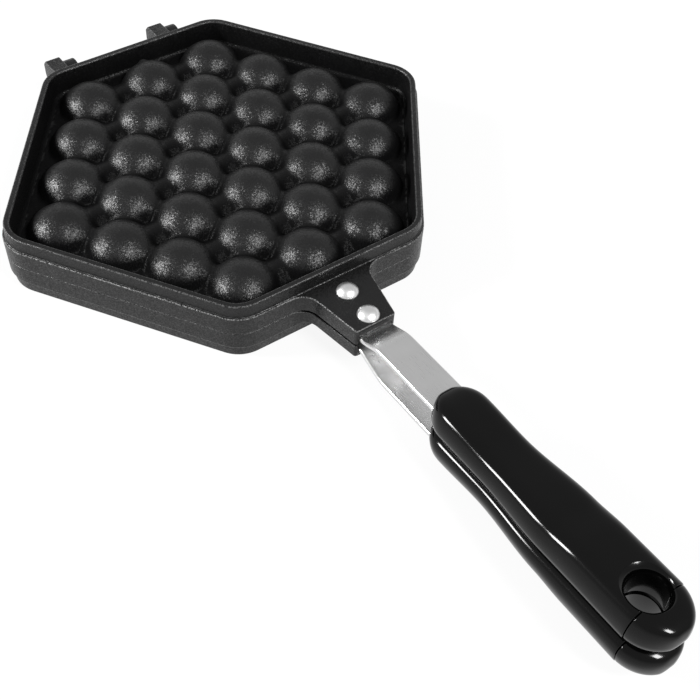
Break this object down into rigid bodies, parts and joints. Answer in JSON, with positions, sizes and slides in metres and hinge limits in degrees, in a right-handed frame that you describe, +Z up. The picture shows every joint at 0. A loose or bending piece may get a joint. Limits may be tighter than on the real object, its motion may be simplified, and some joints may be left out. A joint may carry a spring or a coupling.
{
  "type": "egg waffle pan",
  "caption": "Hinged cast pan for egg waffles: two six-sided halves with rows of half-ball pockets close on a pair of long handles.",
  "frame": {"origin": "middle of the footprint, on the plane that the lower half's rim rests on", "axes": "+X from the hinges along the handles, +Z up through the closed pan, +Y to the left of someone looking along +X"},
  "size_m": [0.3936, 0.2096, 0.0388],
  "materials": {
    "upper_cast": "dark grey non-stick coating with a fine metallic sparkle",
    "lower_cast": "dark grey non-stick coating with a fine metallic sparkle",
    "strap_steel": "polished stainless steel",
    "rivet_metal": "bright, lightly brushed",
    "pin_steel": "plain steel",
    "grip_plastic": "glossy black heat-resistant moulding"
  },
  "bodies": {
    "lower_half": {"lower_plate": "lower_cast", "left_hinge_pin": "pin_steel", "right_hinge_pin": "pin_steel", "lower_strap": "strap_steel", "lower_rear_rivet": "rivet_metal", "lower_front_rivet": "rivet_metal", "lower_grip": "grip_plastic", "lower_hang_ring": "grip_plastic"},
    "upper_half": {"upper_plate": "upper_cast", "upper_strap": "strap_steel", "upper_rear_rivet": "rivet_metal", "upper_front_rivet": "rivet_metal", "upper_grip": "grip_plastic", "upper_hang_ring": "grip_plastic"}
  },
  "joints": [
    {"name": "lid_hinge", "type": "hinge", "parent": "lower_half", "child": "upper_half", "pos_m": [-0.18971, 0, 0.0147], "axis": [0, -1, 0], "range_deg": [0, 178]}
  ]
}
